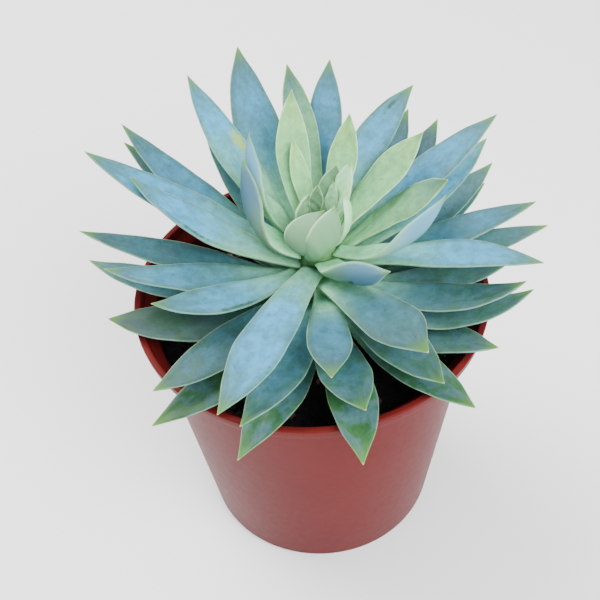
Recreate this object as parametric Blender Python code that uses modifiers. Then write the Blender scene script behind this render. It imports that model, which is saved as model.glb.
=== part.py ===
"""Potted sedeveria: a loose succulent rosette on a short stem, in a 9 cm nursery pot.

Lengths are in millimetres until MM turns them into Blender's metres, and angles are in degrees.
The origin is the centre of the pot's base, +Z is up and -Y is the front.
"""

from collections import namedtuple
from math import cos, radians, sin

import bpy
import numpy as np

MM = 0.001
MERGE = 1e-5

POT_HEIGHT = 76.0
POT_RADIUS = 45.0
BASE_RADIUS = 32.0
WALL_TOP_RADIUS = 41.4
WALL = 1.3
FLOOR = 1.6
BASE_ROUND = 0.9
RIM_HEIGHT = 3.4
RIM_WIDTH = 1.7
RIM_ROUND = 0.4
RIM_DRAFT = 0.6
STEP_HEIGHT = 1.2
POT_STEPS = 72
DRAIN_HOLES = 6
DRAIN_RADIUS = 3.0
DRAIN_CIRCLE = 19.0
DRAIN_STEPS = 20
CUT_MARGIN = 1.0

GAP = 0.3
SOIL_DROP = 10.0

# The shoot's axis stands a little off the pot's. Heights on it count from the pot's rim.
SHOOT_X = 2.5
SHOOT_Y = 0.5
STEM_RADIUS = 5.7
STEM_TAPER = 0.10
STEM_THICKEST = 6.2
STEM_THINNEST = 3.8
STEM_FOOT = -36.0
STEM_FOOT_RADIUS = 4.5
STEM_HOLE_RADIUS = 6.7
STEM_TOP = 9.0
STEM_STEPS = 28
CORE_SHOULDER = 18.0
CORE_TOP = 24.0
CORE_RINGS = 5

# Bearing turns anticlockwise from +X, reach is from the shoot's axis to the leaf's tip, and tip
# and root are their heights over the rim. Belly is where along the leaf it is widest. The bows
# lift the inner and the outer part off the straight line from root to tip, the sweep carries
# the middle sideways, and twist turns the root's bearing away from the tip's. Roll turns the
# outer part of the blade about its own length, fat thickens it, and neck is how wide its root is
# beside its belly.
Leaf = namedtuple(
    "Leaf",
    "bearing reach tip root width belly bow bow_out sweep twist roll fat neck",
    defaults=(0, 1, 0.40),
)

# The large leaves, from the oldest at the foot of the stem to the youngest.
LEAVES = (
    Leaf(276, 55.5, 0, -6, 11.5, 0.66, 4, 7, 1.3, 0),
    Leaf(247, 55.5, -1, -5, 12.0, 0.60, 4, 7, 4.5, 0),
    Leaf(224, 57.5, -1, -5, 12.0, 0.58, 4, 7, 8.5, 0),
    Leaf(187, 54.0, 0, -3, 13.5, 0.55, 3, 6, 10, 0),
    Leaf(326, 48.5, 3, -4, 11.0, 0.60, 1, 1, -2.5, 0),
    Leaf(306, 54.5, 3, -5, 11.5, 0.60, 3, 3, -2, 0),
    Leaf(60, 50.0, 4, -5, 11.0, 0.58, 2, 2, 0, 0),
    Leaf(88, 50.0, 4, -5, 11.0, 0.58, 2, 2, 0, 0),
    Leaf(113, 50.0, 4, -5, 11.0, 0.58, 2, 2, 0, 0),
    Leaf(137, 48.0, 5, -3, 11.0, 0.58, 2, 2, 0, 0),
    Leaf(172, 59.0, 7, -1, 10.5, 0.55, -1, -2, 6, 0),
    Leaf(29, 52.0, 9, 0, 10.0, 0.60, 0, 0, -1, 0),
    Leaf(4, 57.5, 12, 0, 10.0, 0.55, 0, 0, 1, 0),
    Leaf(345, 52.5, 8, 0, 10.5, 0.55, -3, -5, -10, 0),
    Leaf(78, 44.0, 13, 0, 10.5, 0.58, 0, 0, 0, 0),
    Leaf(120, 50.0, 16, 0, 10.5, 0.58, 0, 0, 0, 0),
    Leaf(353, 46.0, 9, 2, 9.5, 0.55, -1, -1, -3, 0),
    Leaf(28, 53.0, 16, 2, 9.5, 0.60, 0, 0, -3, 0),
    Leaf(49, 52.5, 20, 1, 10.0, 0.60, 0, 0, -2, 0),
    Leaf(57, 49.0, 23, 3, 9.5, 0.60, 0, 0, -1, 0),
    Leaf(146, 58.0, 25, 2, 10.0, 0.55, 0, 0, 1.5, 0),
    Leaf(130, 42.0, 27, 2, 9.0, 0.50, 0, 0, 0, 0),
    Leaf(278, 50.0, 12, 2.5, 12.0, 0.68, 1, 2, -2, 0),
    Leaf(248, 54.0, 10, 3.5, 11.0, 0.60, 2, 2, 4.5, 0),
    Leaf(222, 54.0, 7, 4.5, 11.5, 0.60, 1, 2, 4, 0),
    Leaf(300, 49.5, 11, 5.5, 12.5, 0.65, 2, 2, -1, 0),
    Leaf(341, 50.5, 14, 5.5, 10.0, 0.55, -2, -4, -6, 0),
    Leaf(173, 59.0, 18, 5, 9.5, 0.50, 0, 0, 0, 0),
    Leaf(1, 52.5, 23, 7.5, 9.5, 0.58, 2, 3, -1, 0),
    Leaf(183, 52.5, 14, 6.5, 10.0, 0.48, -1, -2, 4, 0),
    Leaf(27, 49.5, 26, 8.5, 10.0, 0.58, 0, 0, -3, 0),
    Leaf(270, 46.5, 20, 10.5, 10.0, 0.72, 2, 3, 1, -18),
    Leaf(148, 55.5, 33, 8.5, 10.0, 0.50, 0, 0, 2, 0),
    Leaf(297, 46.5, 20, 10.5, 13.5, 0.74, 3, 5, -2, -20),
    Leaf(25, 50.5, 34, 9.5, 10.5, 0.58, 0, 0, 1, 0),
    Leaf(206, 44.0, 18, 9.5, 10.0, 0.60, 0, -1, 4.5, 0),
    Leaf(162, 58.0, 34, 9, 11.0, 0.50, -1, -1, 1, 0),
    Leaf(110, 49.5, 42, 9.5, 12.0, 0.60, 0, 0, 2.6, 2),
    Leaf(82, 47.5, 36, 11.5, 9.0, 0.62, 0, 0, 1.2, -3),
    Leaf(347, 54.0, 15, 11.5, 9.5, 0.58, 1, 3, -2, 0),
    Leaf(244, 56.0, 15, 12.5, 11.5, 0.64, 3, 4, 2.5, 0, 0, 1, 0.52),
    Leaf(53, 45.0, 34, 11.5, 10.0, 0.62, 0, 0, 4, 0),
    Leaf(127, 50.0, 39, 10.5, 9.5, 0.52, 0, 0, 2.8, 0),
    Leaf(96, 45.0, 37, 12.5, 8.5, 0.60, 0, 0, -1, 0),
    Leaf(165, 46.0, 30, 9.5, 10.0, 0.50, -3, -3, 6, 10),
    Leaf(299, 30.0, 30, 12, 8.4, 0.46, -1, -1, -2, -24, -80, 1.3, 0.75),
    Leaf(3, 31.0, 31, 13.2, 10.0, 0.62, -4, -4, 4, 0),
    Leaf(352, 30.0, 31.5, 13.5, 6.2, 0.52, -4.5, -3.5, -5, -20, -80, 1.3, 0.65),
    Leaf(33, 32.5, 33, 14.8, 9.5, 0.60, 0, 0, 0.5, 0),
    Leaf(67, 25.0, 36, 15, 7.5, 0.60, 0, 0, -0.8, -6),
    Leaf(98, 28.0, 41, 14.3, 8.5, 0.55, 0, 0, 2.5, 3),
    Leaf(146, 20.0, 34, 10.5, 8.0, 0.44, -8, -2, 5, 50, 75, 1.5, 0.70),
    Leaf(133, 21.5, 38, 14.5, 6.4, 0.45, -2.5, -4, 3, 30, 95, 1.5),
    Leaf(105, 18.0, 34, 16, 4.8, 0.55, 0, 0, 0, 0),
)

# The small leaves of the bud, which grow from the core at the shoot's tip.
BUD_LEAVES = (
    Leaf(14, 8.5, 38, 16.0, 7.0, 0.60, 0, 0, 0, 20),
    Leaf(50, 8.0, 34, 19.0, 6.0, 0.60, -1, -1, -1, 50),
    Leaf(335, 4.5, 28.5, 14.0, 9.4, 0.45, -3.5, -3, -1, -100),
    Leaf(350, 6.0, 31, 15.5, 7.5, 0.50, -2.5, -2.5, 0, 0),
    Leaf(330, 2.0, 26.5, 15.2, 10.6, 0.54, -5, -4.5, -2.8, -130),
    Leaf(118, 3.6, 28.0, 17.5, 7.0, 0.50, -1, -1, 0, 30),
    Leaf(30, 5.0, 32, 17.0, 4.0, 0.50, -1, -1, 0, 30),
    Leaf(80, 3.0, 31, 19.0, 3.5, 0.50, -1, -1, 0, 20),
)

BUD_ROOT_SINK = 0.8
HANDLE_STATIONS = (0.34, 0.70)
STATIONS = 13
TIP_CROWDING = 1.12
ROLL_SPAN = (0.15, 0.85)
TAPER_POWERS = (1.6, 0.88)
THICKNESS_SHARE = 0.30
THICKNESS_CURVE = (0.62, 0.90, -1.25)
THINNEST_SHARE = 0.12

# A leaf's cross-section, going round: across in half widths, up in thicknesses. The top is a
# shallow trough and the underside a blunt keel.
SECTION = np.array(
    [(1, 0), (0.5, 0.10), (0, 0.04), (-0.5, 0.10), (-1, 0), (-0.62, -0.72), (0, -1), (0.62, -0.72)]
)
TOP_RISE = 0.10

# How the leaves press each other, the rim and the soil apart as they grow. Each handle of a
# leaf's centre line gives by its own share, and springs back towards where it was drawn.
PRESS_ROUNDS = 180
PRESS_STEP = 1.5
ROOT_STEP = 0.5
LEAST_LOAD = 1e-6
LEAF_GAP = 0.5
TOUCH_DEPTH = 5.0
TOUCH_SPAN = 0.75
TOUCH_SIDE = 0.2
EDGE_ROLL = 40.0
HANDLE_GIVE = np.array([0.35, 1.0, 1.0, 0.12])
SPRING_BACK = np.array([0.004, 0.010, 0.010, 0.040])[None, :, None]
RIM_LIFT = 0.5
SOIL_LIFT = 0.6
RIM_ZONE = (40.0, 47.0)
NO_FLOOR = -100.0

ALONG = 1 - (1 - np.linspace(0, 1, STATIONS)) ** TIP_CROWDING
CURVE = np.stack(
    [(1 - ALONG) ** 3, 3 * ALONG * (1 - ALONG) ** 2, 3 * ALONG**2 * (1 - ALONG), ALONG**3], axis=1
)
SLOPE = np.stack(
    [
        -3 * (1 - ALONG) ** 2,
        3 * (1 - ALONG) * (1 - 3 * ALONG),
        3 * ALONG * (2 - 3 * ALONG),
        3 * ALONG**2,
    ],
    axis=1,
)


def clear_scene():
    for obj in list(bpy.data.objects):
        bpy.data.objects.remove(obj)


def new_collection(name):
    collection = bpy.data.collections.new(name)
    bpy.context.scene.collection.children.link(collection)
    return collection


def new_material(name, color, roughness):
    material = bpy.data.materials.new(name)
    material.use_nodes = True
    surface = material.node_tree.nodes["Principled BSDF"]
    surface.inputs["Base Color"].default_value = (*color, 1)
    surface.inputs["Roughness"].default_value = roughness
    return material


def unit(vectors):
    return vectors / np.linalg.norm(vectors, axis=-1, keepdims=True)


def heading(bearing):
    return np.array([cos(radians(bearing)), sin(radians(bearing)), 0.0])


def stem_radius(height):
    return np.clip(STEM_RADIUS - STEM_TAPER * height, STEM_THINNEST, STEM_THICKEST)


def wall_radius(height):
    """The pot's outer radius at a height over its base, below the step under the rim."""
    step_foot = POT_HEIGHT - RIM_HEIGHT - STEP_HEIGHT
    return BASE_RADIUS + (WALL_TOP_RADIUS - BASE_RADIUS) * height / step_foot


def turned(name, profile, steps, material, collection):
    """A solid of revolution about Z from (radius, height) points that run down its outer side."""
    mesh = bpy.data.meshes.new(name)
    points = [(radius * MM, 0, height * MM) for radius, height in profile]
    mesh.from_pydata(points, [(i, i + 1) for i in range(len(points) - 1)], [])
    obj = bpy.data.objects.new(name, mesh)
    collection.objects.link(obj)
    screw = obj.modifiers.new("turn", "SCREW")
    screw.steps = steps
    screw.render_steps = steps
    screw.use_merge_vertices = True
    screw.merge_threshold = MERGE
    mesh.materials.append(material)
    return obj


def cut_cylinder(name, radius, foot, top, place, steps, collection):
    bpy.ops.mesh.primitive_cylinder_add(
        vertices=steps,
        radius=radius * MM,
        depth=(top - foot) * MM,
        location=(place[0] * MM, place[1] * MM, (top + foot) / 2 * MM),
    )
    cutter = bpy.context.object
    cutter.name = name
    cutter.hide_render = True
    cutter.display_type = "WIRE"
    for home in list(cutter.users_collection):
        home.objects.unlink(cutter)
    collection.objects.link(cutter)
    return cutter


def cut(target, cutter):
    boolean = target.modifiers.new("cut " + cutter.name, "BOOLEAN")
    boolean.operation = "DIFFERENCE"
    boolean.object = cutter


def make_pot(material, collection, cutters):
    """A thin tapered wall that steps out to a narrow rim, with drainage holes round its floor."""
    step_foot = POT_HEIGHT - RIM_HEIGHT - STEP_HEIGHT
    rim_foot = POT_HEIGHT - RIM_HEIGHT
    inner_edge = POT_RADIUS - RIM_WIDTH
    profile = [
        (0, FLOOR),
        (wall_radius(FLOOR) - WALL - BASE_ROUND, FLOOR),
        (wall_radius(FLOOR + BASE_ROUND) - WALL, FLOOR + BASE_ROUND),
        (wall_radius(step_foot) - WALL, step_foot),
        (inner_edge - RIM_DRAFT, rim_foot + STEP_HEIGHT),
        (inner_edge, POT_HEIGHT - RIM_ROUND),
        (inner_edge + RIM_ROUND, POT_HEIGHT),
        (POT_RADIUS - RIM_ROUND, POT_HEIGHT),
        (POT_RADIUS, POT_HEIGHT - RIM_ROUND),
        (POT_RADIUS - RIM_DRAFT, rim_foot + RIM_ROUND),
        (POT_RADIUS - RIM_DRAFT - RIM_ROUND, rim_foot),
        (WALL_TOP_RADIUS, step_foot),
        (wall_radius(BASE_ROUND), BASE_ROUND),
        (BASE_RADIUS - BASE_ROUND, 0),
        (0, 0),
    ]
    pot = turned("pot", profile, POT_STEPS, material, collection)
    for hole in range(DRAIN_HOLES):
        place = DRAIN_CIRCLE * heading(360 * hole / DRAIN_HOLES)
        name = f"drain_hole_{hole + 1}"
        top = FLOOR + CUT_MARGIN
        cut(pot, cut_cylinder(name, DRAIN_RADIUS, -CUT_MARGIN, top, place, DRAIN_STEPS, cutters))


def make_soil(material, collection, cutters):
    """The mix that fills the pot to below its rim, with a plain blind hole that the stem stands in."""
    top = POT_HEIGHT - SOIL_DROP
    foot = FLOOR + GAP
    clear = WALL + GAP
    profile = [
        (0, top),
        (wall_radius(top) - clear - BASE_ROUND, top),
        (wall_radius(top - BASE_ROUND) - clear, top - BASE_ROUND),
        (wall_radius(foot + BASE_ROUND) - clear, foot + BASE_ROUND),
        (wall_radius(foot) - clear - BASE_ROUND, foot),
        (0, foot),
    ]
    soil = turned("soil", profile, POT_STEPS, material, collection)
    hole_foot = POT_HEIGHT + STEM_FOOT - GAP
    hole_top = top + CUT_MARGIN
    place = (SHOOT_X, SHOOT_Y)
    hole = cut_cylinder("stem_hole", STEM_HOLE_RADIUS, hole_foot, hole_top, place, STEM_STEPS, cutters)
    cut(soil, hole)


def make_stem(material, collection, shoot):
    """The woody stem, from its foot in the soil to just under the bud's core."""
    soil_level = -SOIL_DROP
    profile = [
        (0, STEM_TOP),
        (stem_radius(STEM_TOP), STEM_TOP),
        (stem_radius(soil_level), soil_level),
        (STEM_FOOT_RADIUS, STEM_FOOT),
        (0, STEM_FOOT),
    ]
    stem = turned("stem", profile, STEM_STEPS, material, collection)
    stem.parent = shoot


def half_widths(leaf):
    """Half the leaf's width at each station: it swells to the belly and narrows to a point."""
    swell = np.clip(ALONG / leaf.belly, 0, 1)
    rise = leaf.neck + (1 - leaf.neck) * swell**2 * (3 - 2 * swell)
    beyond = np.clip((ALONG - leaf.belly) / (1 - leaf.belly), 0, 1)
    fall = (1 - beyond ** TAPER_POWERS[0]) ** TAPER_POWERS[1]
    return leaf.width / 2 * np.where(ALONG < leaf.belly, rise, fall)


def thicknesses(leaf):
    start, slope, bend = THICKNESS_CURVE
    share = np.clip(start + slope * ALONG + bend * ALONG**2, THINNEST_SHARE, None)
    return THICKNESS_SHARE * leaf.width * leaf.fat * share


def facing(leaf):
    """The bearing that the leaf's blade looks away from the shoot, in radians."""
    return radians(leaf.bearing + leaf.twist / 2)


def drawn_handles(leaf, root_gap):
    """The four handles of the leaf's centre line, from the shoot's axis at the rim's height."""
    root = heading(leaf.bearing + leaf.twist) * (stem_radius(leaf.root) + root_gap)
    root[2] = leaf.root
    tip = heading(leaf.bearing) * leaf.reach
    tip[2] = leaf.tip
    side = np.array([-sin(facing(leaf)), cos(facing(leaf)), 0.0])
    chord = tip - root
    up = unit(np.cross(chord, side))
    inner, outer = HANDLE_STATIONS
    return np.array(
        [
            root,
            root + chord * inner + up * leaf.bow + side * leaf.sweep,
            root + chord * outer + up * leaf.bow_out + side * leaf.sweep,
            tip,
        ]
    )


def roll_shares(along):
    low, high = ROLL_SPAN
    share = np.clip((along - low) / (high - low), 0, 1)
    return share**2 * (3 - 2 * share)


def leaf_frames(handles, facings, rolls):
    """Each leaf's centre line, and its directions along, across and up, at every station."""
    centre = np.einsum("sh,lhj->lsj", CURVE, handles)
    along = unit(np.einsum("sh,lhj->lsj", SLOPE, handles))
    level = np.stack([-np.sin(facings), np.cos(facings), 0 * facings], axis=1)[:, None, :]
    across = unit(level - along * (level * along).sum(axis=-1, keepdims=True))
    up = np.cross(along, across)
    roll = (rolls[:, None] * roll_shares(ALONG))[..., None]
    rolled = np.cos(roll) * across + np.sin(roll) * up
    return centre, along, rolled, np.cos(roll) * up - np.sin(roll) * across


def leaf_rings(frames, half, thick):
    """The rings of points round each leaf, at every station but the tip."""
    centre, _, across, up = (part[:, :-1, None, :] for part in frames)
    sideways = half[:, :-1, None, None] * SECTION[None, None, :, 0:1]
    upward = thick[:, :-1, None, None] * SECTION[None, None, :, 1:2]
    return centre + across * sideways + up * upward


def overlap_depth(leaf, points, above, on_edge, frames, half, thick):
    """How far each point is inside the leaf's clearance, its nearest station and the way out."""
    centre, along, across, up = (part[leaf] for part in frames)
    offset = points[:, None] - centre[None]
    station = (offset**2).sum(axis=-1).argmin(axis=1)
    offset = offset[np.arange(len(points)), station]
    ahead = (offset * along[station]).sum(axis=-1)
    aside = np.abs((offset * across[station]).sum(axis=-1))
    height = (offset * up[station]).sum(axis=-1)
    above = np.where(on_edge[station], height > 0, above)
    span = np.linalg.norm(centre[1:] - centre[:-1], axis=1).mean()
    beside = (np.abs(ahead) < TOUCH_SPAN * span) & (aside < half[leaf][station] + TOUCH_SIDE)
    edge = np.clip(aside / np.maximum(half[leaf][station], GAP), 0, 1)
    top = thick[leaf][station] * TOP_RISE * (1 - edge**2)
    keel = thick[leaf][station] * (1 - edge**2) ** 0.6
    depth = np.where(above, top + LEAF_GAP - height, height + keel + LEAF_GAP)
    near = np.where(above, height > -TOUCH_DEPTH, height < TOUCH_DEPTH)
    way_out = up[station] * np.where(above, 1, -1)[:, None]
    return np.where(beside & near, depth, 0), station, way_out


def share_push(push, load, owners, curve, depth, way_out, total):
    """Adds each contact's push to its leaf's handles, by how much they move that point."""
    for handle, give in enumerate(HANDLE_GIVE):
        weight = curve[:, handle]
        amount = depth / total * give * weight**2
        np.add.at(push[:, handle], owners, amount[:, None] * way_out)
        np.add.at(load[:, handle], owners, weight)


def press_on(leaf, on_edge, rings, frames, half, thick, push, load):
    """Pushes a leaf and those that touch it apart.

    A younger leaf lies above an older one, but a blade on edge is passed on the nearer side.
    """
    low = rings.min(axis=(1, 2)) - 1
    high = rings.max(axis=(1, 2)) + 1
    close = (low < high[leaf]).all(axis=1) & (high > low[leaf]).all(axis=1)
    close[leaf] = False
    others = np.nonzero(close)[0]
    if not len(others):
        return
    each = rings.shape[1] * rings.shape[2]
    points = rings[others].reshape(-1, 3)
    owners = np.repeat(others, each)
    own_station = np.tile(np.repeat(np.arange(rings.shape[1]), rings.shape[2]), len(others))
    above = owners > leaf
    depth, station, way_out = overlap_depth(leaf, points, above, on_edge, frames, half, thick)
    hit = np.nonzero(depth > 0)[0]
    theirs = CURVE[own_station[hit]]
    ours = CURVE[station[hit]]
    total = (HANDLE_GIVE * (theirs**2 + ours**2)).sum(axis=1)
    share_push(push, load, owners[hit], theirs, depth[hit], way_out[hit], total)
    share_push(push, load, np.full(len(hit), leaf), ours, depth[hit], -way_out[hit], total)


def lift_off_pot(rings, push, load):
    """Lifts what would sink into the soil or the rim."""
    leaves, stations, _, _ = rings.shape
    points = rings.reshape(leaves, -1, 3)
    radius = np.hypot(points[..., 0] + SHOOT_X, points[..., 1] + SHOOT_Y)
    floor = np.where(radius < RIM_ZONE[1], RIM_LIFT, NO_FLOOR)
    floor = np.where(radius < RIM_ZONE[0], SOIL_LIFT - SOIL_DROP, floor)
    depth = floor - points[..., 2]
    owners, low = np.nonzero(depth > 0)
    curve = CURVE[low // len(SECTION)]
    total = (HANDLE_GIVE * curve**2).sum(axis=1)
    way_out = np.tile([0.0, 0.0, 1.0], (len(owners), 1))
    share_push(push, load, owners, curve, depth[owners, low], way_out, total)


def seat_roots(handles, root_rings, root_gaps):
    """Keeps each root at its bearing, with all of its ring just off the stem."""
    radius = np.hypot(root_rings[..., 0], root_rings[..., 1])
    sunk = (stem_radius(root_rings[..., 2]) + GAP - radius).max(axis=1)
    root_gaps[:] = np.maximum(root_gaps + ROOT_STEP * sunk, GAP)
    roots = handles[:, 0]
    roots[:, :2] = unit(roots[:, :2]) * (stem_radius(roots[:, 2]) + root_gaps)[:, None]


def grow(leaves, bud_rings):
    """The rings and tip of each large leaf, once they have pressed each other clear."""
    drawn = np.array([drawn_handles(leaf, GAP) for leaf in leaves])
    root_gaps = np.full(len(leaves), GAP)
    facings = np.array([facing(leaf) for leaf in leaves])
    rolls = np.radians([leaf.roll for leaf in leaves])
    on_edge = np.abs(rolls)[:, None] * roll_shares(ALONG) > radians(EDGE_ROLL)
    half = np.array([half_widths(leaf) for leaf in leaves])
    thick = np.array([thicknesses(leaf) for leaf in leaves])
    handles = drawn.copy()
    for _ in range(PRESS_ROUNDS):
        frames = leaf_frames(handles, facings, rolls)
        rings = leaf_rings(frames, half, thick)
        all_rings = np.concatenate([rings, bud_rings])
        push = np.zeros((len(all_rings), 4, 3))
        load = np.full(push.shape[:2], LEAST_LOAD)
        for leaf in range(len(leaves)):
            press_on(leaf, on_edge[leaf], all_rings, frames, half, thick, push, load)
        lift_off_pot(rings, push, load)
        handles += (PRESS_STEP * push / load[..., None])[: len(leaves)]
        handles += (drawn - handles) * SPRING_BACK
        seat_roots(handles, rings[:, 0], root_gaps)
    frames = leaf_frames(handles, facings, rolls)
    return leaf_rings(frames, half, thick), frames[0][:, -1]


def loft(name, rings, tip, material, collection, shoot):
    """A leaf's solid from its rings and tip, with its origin at its root."""
    root = rings[0].mean(axis=0)
    points = np.vstack([rings.reshape(-1, 3), tip]) - root
    around = len(SECTION)
    faces = [tuple(range(around))[::-1]]
    for ring in range(len(rings) - 1):
        for side in range(around):
            near = ring * around + side
            beside = ring * around + (side + 1) % around
            faces.append((near, beside, beside + around, near + around))
    last = (len(rings) - 1) * around
    for side in range(around):
        faces.append((last + side, last + (side + 1) % around, len(points) - 1))
    mesh = bpy.data.meshes.new(name)
    mesh.from_pydata((points * MM).tolist(), [], faces)
    mesh.shade_smooth()
    mesh.materials.append(material)
    obj = bpy.data.objects.new(name, mesh)
    obj.location = root * MM
    obj.parent = shoot
    collection.objects.link(obj)
    return obj


def bud_lofts():
    """The rings and tip of each bud leaf, which stay as drawn."""
    facings = np.array([facing(leaf) for leaf in BUD_LEAVES])
    rolls = np.radians([leaf.roll for leaf in BUD_LEAVES])
    handles = np.array([drawn_handles(leaf, -BUD_ROOT_SINK) for leaf in BUD_LEAVES])
    half = np.array([half_widths(leaf) for leaf in BUD_LEAVES])
    thick = np.array([thicknesses(leaf) for leaf in BUD_LEAVES])
    frames = leaf_frames(handles, facings, rolls)
    return leaf_rings(frames, half, thick), frames[0][:, -1]


def make_leaves(material, collection, shoot):
    rings, tips = grow(LEAVES, bud_lofts()[0])
    for number in range(len(LEAVES)):
        loft(f"leaf_{number + 1:02d}", rings[number], tips[number], material, collection, shoot)


def make_crown(material, collection, shoot):
    """The bud: small leaves fused on the domed core at the shoot's tip."""
    dome = np.radians(np.linspace(90, 0, CORE_RINGS))
    width = stem_radius(CORE_SHOULDER)
    profile = [
        (width * cos(angle), CORE_SHOULDER + (CORE_TOP - CORE_SHOULDER) * sin(angle)) for angle in dome
    ]
    foot = STEM_TOP + GAP
    profile += [(stem_radius(foot), foot), (0, foot)]
    crown = turned("crown", profile, STEM_STEPS, material, collection)
    crown.parent = shoot
    buds = new_collection("bud leaves")
    rings, tips = bud_lofts()
    for number in range(len(BUD_LEAVES)):
        loft(f"bud_leaf_{number + 1}", rings[number], tips[number], material, buds, shoot)
    union = crown.modifiers.new("bud leaves", "BOOLEAN")
    union.operation = "UNION"
    union.operand_type = "COLLECTION"
    union.collection = buds
    bpy.context.view_layer.update()
    depsgraph = bpy.context.evaluated_depsgraph_get()
    fused = bpy.data.meshes.new_from_object(crown.evaluated_get(depsgraph))
    crown.modifiers.clear()
    crown.data = fused
    for bud in list(buds.objects):
        bpy.data.objects.remove(bud)
    bpy.data.collections.remove(buds)


def main():
    clear_scene()
    parts = new_collection("potted sedeveria")
    cutters = new_collection("cutters")
    plastic = new_material("pot plastic", (0.33, 0.09, 0.08), 0.45)
    earth = new_material("potting mix", (0.012, 0.009, 0.008), 0.95)
    bark = new_material("stem", (0.30, 0.34, 0.20), 0.70)
    leaf = new_material("leaf", (0.25, 0.44, 0.46), 0.60)
    bud = new_material("bud", (0.46, 0.60, 0.42), 0.60)
    shoot = bpy.data.objects.new("shoot", None)
    shoot.location = (SHOOT_X * MM, SHOOT_Y * MM, POT_HEIGHT * MM)
    parts.objects.link(shoot)
    make_pot(plastic, parts, cutters)
    make_soil(earth, parts, cutters)
    make_stem(bark, parts, shoot)
    make_leaves(leaf, parts, shoot)
    make_crown(bud, parts, shoot)


main()
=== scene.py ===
"""Potted sedeveria: the finished look of the rosette, its pot and its soil.

Lengths are in millimetres until MM turns them into metres, and angles are in degrees. The origin
is the centre of the pot's base, +Z is up and -Y is the front.
"""

from collections import namedtuple
from math import cos, pi, radians, sin

import bmesh
import bpy
import numpy as np
from mathutils import Matrix, Vector


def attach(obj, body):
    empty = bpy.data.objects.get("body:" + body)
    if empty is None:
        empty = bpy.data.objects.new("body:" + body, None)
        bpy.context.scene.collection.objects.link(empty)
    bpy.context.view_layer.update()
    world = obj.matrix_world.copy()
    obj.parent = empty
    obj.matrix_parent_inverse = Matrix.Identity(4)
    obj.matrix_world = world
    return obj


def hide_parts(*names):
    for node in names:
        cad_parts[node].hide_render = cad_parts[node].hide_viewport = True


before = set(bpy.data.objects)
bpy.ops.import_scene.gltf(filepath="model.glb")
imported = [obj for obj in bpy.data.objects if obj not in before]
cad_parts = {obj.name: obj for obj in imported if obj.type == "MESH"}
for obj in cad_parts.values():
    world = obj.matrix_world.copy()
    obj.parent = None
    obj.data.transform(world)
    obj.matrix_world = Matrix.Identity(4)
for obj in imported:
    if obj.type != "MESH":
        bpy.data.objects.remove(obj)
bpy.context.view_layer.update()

MM = 0.001
IMAGE_WIDTH = 600

POT_HEIGHT = 76.0
POT_RADIUS = 45.0
BASE_RADIUS = 32.0
WALL_TOP_RADIUS = 41.4
WALL = 1.3
FLOOR = 1.6
RIM_HEIGHT = 3.4
RIM_WIDTH = 1.7
RIM_DRAFT = 0.6
STEP_HEIGHT = 1.2
DRAIN_HOLES = 6
DRAIN_RADIUS = 3.0
DRAIN_CIRCLE = 19.0

GAP = 0.3
SOIL_DROP = 10.0

# The shoot's axis stands a little off the pot's. Heights on it count from the pot's rim.
SHOOT_X = 2.5
SHOOT_Y = 0.5
STEM_RADIUS = 5.7
STEM_TAPER = 0.10
STEM_THICKEST = 6.2
STEM_THINNEST = 3.8
STEM_FOOT = -36.0
STEM_FOOT_RADIUS = 4.5
STEM_HOLE_RADIUS = 6.7
STEM_TOP = 9.0
CORE_SHOULDER = 18.0
CORE_TOP = 24.0

# Bearing turns anticlockwise from +X, reach is from the shoot's axis to the leaf's tip, and tip
# and root are their heights over the rim. Belly is where along the leaf it is widest. The bows
# lift the inner and the outer part off the straight line from root to tip, the sweep carries
# the middle sideways, and twist turns the root's bearing away from the tip's. Roll turns the
# outer part of the blade about its own length, fat thickens it, and neck is how wide its root is
# beside its belly. The bows, the sweep, the twist and the roll are 0 where a row leaves them out.
Leaf = namedtuple(
    "Leaf",
    "bearing reach tip root width belly bow bow_out sweep twist roll fat neck",
    defaults=(0, 0, 0, 0, 0, 1, 0.40),
)

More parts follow.
